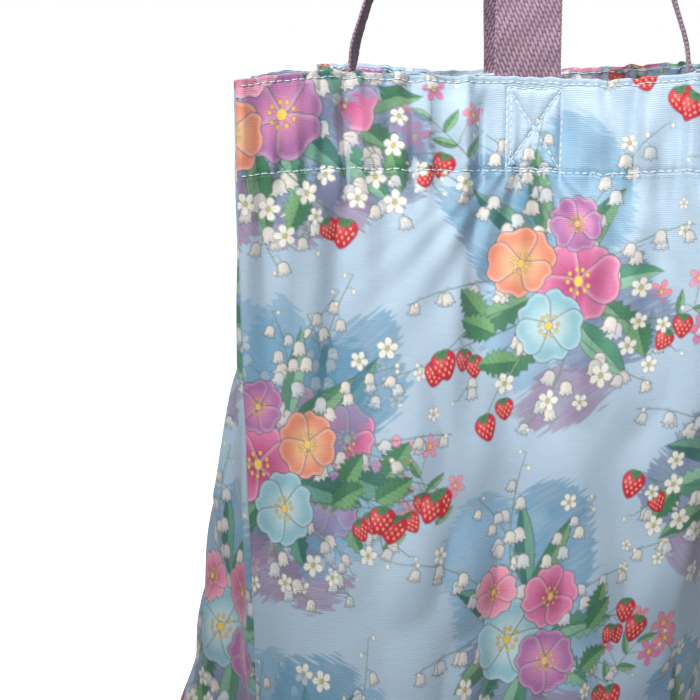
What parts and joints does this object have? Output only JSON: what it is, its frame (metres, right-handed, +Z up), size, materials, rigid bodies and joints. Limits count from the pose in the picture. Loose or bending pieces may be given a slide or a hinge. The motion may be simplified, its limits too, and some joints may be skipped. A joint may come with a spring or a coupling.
{
  "type": "foldable tote bag",
  "caption": "Open-mouthed printed cloth tote with two webbing loop handles, turned hem, boxed base and an inner stow pouch closed by a press stud.",
  "frame": {"origin": "centre of the underside of the boxed base", "axes": "+Z up, X along the base's long side with the left side seam on -X, front panel on -Y"},
  "size_m": [0.306, 0.2622, 0.5838],
  "materials": {
    "cloth": "thin smooth ribbed woven polyester, pale blue with a scattered floral print, slight sheen",
    "webbing": "matt dusty mauve flat webbing, 25 mm",
    "thread": "pale blue polyester sewing thread",
    "binding": "plain blue woven binding tape",
    "stud": "nickel-plated pressed steel"
  },
  "bodies": {
    "bag": {"front_panel": "cloth", "back_panel": "cloth", "base_panel": "cloth", "base_binding": "binding", "seam_binding_left": "binding", "seam_binding_right": "binding", "hem_facing_front": "cloth", "hem_facing_back": "cloth", "hem_stitch_top": "thread", "hem_stitch_bottom": "thread", "handle_foot_front_left": "webbing", "handle_foot_front_right": "webbing", "handle_foot_back_right": "webbing", "handle_foot_back_left": "webbing", "box_stitch_front_left": "thread", "box_stitch_front_right": "thread", "box_stitch_back_right": "thread", "box_stitch_back_left": "thread", "pouch_hanger": "binding"},
    "handle_front": {"handle_front": "webbing"},
    "handle_back": {"handle_back": "webbing"},
    "pouch": {"pouch_back": "cloth", "pouch_front": "cloth", "pouch_binding": "binding", "snap_stud": "stud", "snap_post": "stud"},
    "pouch_flap": {"pouch_flap": "cloth", "snap_cap": "stud", "snap_socket": "stud"}
  },
  "joints": [
    {"name": "handle_front_swing", "type": "hinge", "parent": "bag", "child": "handle_front", "pos_m": [0, -0.05166, 0.3652], "axis": [1, 0, 0], "range_deg": [0, 85]},
    {"name": "handle_back_swing", "type": "hinge", "parent": "bag", "child": "handle_back", "pos_m": [0, 0.05166, 0.3652], "axis": [-1, 0, 0], "range_deg": [0, 85]},
    {"name": "pouch_swing", "type": "hinge", "parent": "bag", "child": "pouch", "pos_m": [0.05536, 0.03968, 0.3103], "axis": [-0.7608, 0.6489, 0], "range_deg": [0, 60]},
    {"name": "pouch_flap_lift", "type": "hinge", "parent": "pouch", "child": "pouch_flap", "pos_m": [0.05107, 0.03465, 0.3022], "axis": [-0.7608, 0.6489, 0], "range_deg": [0, 125]}
  ]
}
